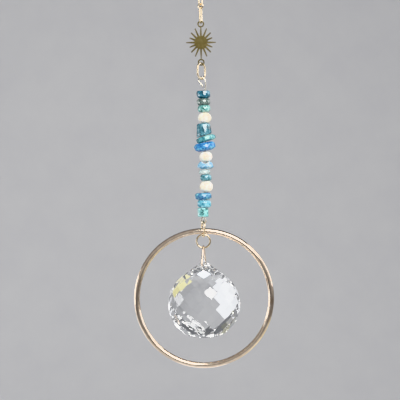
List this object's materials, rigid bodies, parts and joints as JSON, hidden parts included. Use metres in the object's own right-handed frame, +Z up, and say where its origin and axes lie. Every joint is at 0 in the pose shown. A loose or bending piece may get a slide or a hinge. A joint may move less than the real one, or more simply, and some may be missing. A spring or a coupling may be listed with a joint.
{
  "type": "crystal suncatcher",
  "caption": "Hanging crystal suncatcher: a faceted crystal drop inside a slim metal hoop, under a strand of stone chips and wooden beads, a sunburst charm and a fine chain.",
  "frame": {"origin": "where a hook carries the hanging ring: the top of the ring's eye, from which the suncatcher hangs", "axes": "+Z up along the hanging line, +X to the right and +Y to the back, seen from the front; the hoop and the sun charm lie across Y"},
  "size_m": [0.0584, 0.0301, 0.1837],
  "materials": {
    "pale_gold": "polished pale gold plate",
    "rose_gold": "polished pale rose gold plate",
    "dark_brass": "etched sheet brass, satin",
    "silver_wire": "bright drawn wire",
    "teal_stone": "tumbled, glossy dark teal apatite",
    "blue_stone": "tumbled, glossy blue apatite",
    "aqua_stone": "tumbled, glossy aqua apatite",
    "pale_stone": "tumbled, glossy pale grey-blue stone",
    "cream_wood": "smooth bleached wood",
    "clear_crystal": "clear, faceted and polished"
  },
  "bodies": {
    "root": {"hanging_ring": "pale_gold", "chain_link_1": "pale_gold", "chain_link_2": "pale_gold", "chain_link_3": "pale_gold", "chain_link_4": "pale_gold", "chain_link_5": "pale_gold", "chain_link_6": "pale_gold", "chain_link_7": "pale_gold", "sun_charm": "dark_brass", "oval_link": "pale_gold", "bead_wire": "silver_wire", "stone_rondelle_top": "teal_stone", "stone_clear_chip": "pale_stone", "stone_green_chip": "aqua_stone", "wood_bead_upper": "cream_wood", "stone_barrel": "teal_stone", "stone_thin_chip": "aqua_stone", "stone_blue_slab": "blue_stone", "wood_bead_middle": "cream_wood", "stone_saddle_chip": "pale_stone", "stone_pale_disc": "pale_stone", "stone_small_rondelle": "teal_stone", "wood_bead_lower": "cream_wood", "stone_wide_chip": "blue_stone", "stone_cyan_chip": "aqua_stone", "stone_tube": "aqua_stone", "hoop_jump_ring": "pale_gold", "hoop": "rose_gold", "crystal_jump_ring": "pale_gold", "crystal_bail": "rose_gold", "crystal": "clear_crystal"}
  },
  "joints": []
}
